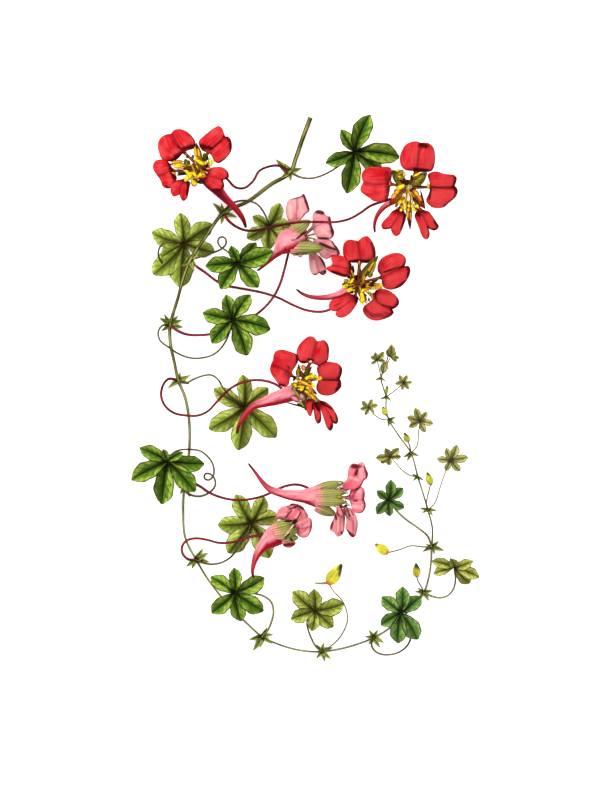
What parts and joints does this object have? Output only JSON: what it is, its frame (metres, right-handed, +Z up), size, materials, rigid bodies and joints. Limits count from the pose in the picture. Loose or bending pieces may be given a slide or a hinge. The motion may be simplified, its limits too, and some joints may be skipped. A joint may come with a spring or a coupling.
{
  "type": "cut nasturtium stem",
  "caption": "Cut climbing stem of a flame nasturtium with leaves, long-spurred scarlet flowers and buds, laid on a surface.",
  "frame": {"origin": "on the surface the stem lies on, under the middle of the whole plant", "axes": "+Z up from the surface; +Y from the hook of the stem towards its cut end, along the plant's length; +X across it, from the flowering side to the growing tip"},
  "size_m": [0.1391, 0.2184, 0.0343],
  "materials": {
    "stem": "satin",
    "leaf": "satin",
    "leaf_underside": "matte",
    "young_leaf": "matte",
    "flower_stalk": "satin",
    "calyx": "satin",
    "petal": "satin",
    "stamen": "matte",
    "bud": "satin"
  },
  "bodies": {
    "root": {"main_stem": "stem", "leaf_01": "leaf", "leaf_02": "leaf_underside", "leaf_03": "leaf_underside", "leaf_04": "leaf", "leaf_05": "leaf", "leaf_06": "leaf_underside", "leaf_07": "leaf", "leaf_08": "leaf_underside", "leaf_09": "leaf", "leaf_10": "leaf", "leaf_11": "leaf", "leaf_12": "leaf", "leaf_13": "leaf", "leaf_14": "young_leaf", "leaf_15": "young_leaf", "leaf_16": "young_leaf", "leaf_17": "young_leaf", "leaf_18": "young_leaf", "bud_1": "bud", "bud_2": "bud", "bud_3": "bud", "bud_4": "bud", "bud_5": "bud", "bud_6": "bud", "bloom_1_stalk": "flower_stalk", "bloom_1_calyx": "calyx", "bloom_1_petals": "petal", "bloom_1_stamens": "stamen", "bloom_2_stalk": "flower_stalk", "bloom_2_calyx": "calyx", "bloom_2_petals": "petal", "bloom_2_stamens": "stamen", "bloom_3_stalk": "flower_stalk", "bloom_3_calyx": "calyx", "bloom_3_petals": "petal", "bloom_3_stamens": "stamen", "bloom_4_stalk": "flower_stalk", "bloom_4_calyx": "calyx", "bloom_4_petals": "petal", "bloom_4_stamens": "stamen", "bloom_5_stalk": "flower_stalk", "bloom_5_calyx": "calyx", "bloom_5_petals": "petal", "bloom_5_stamens": "stamen", "bloom_6_stalk": "flower_stalk", "bloom_6_calyx": "calyx", "bloom_6_petals": "petal", "bloom_6_stamens": "stamen", "bloom_7_stalk": "flower_stalk", "bloom_7_calyx": "calyx", "bloom_7_petals": "petal", "bloom_7_stamens": "stamen"}
  },
  "joints": []
}
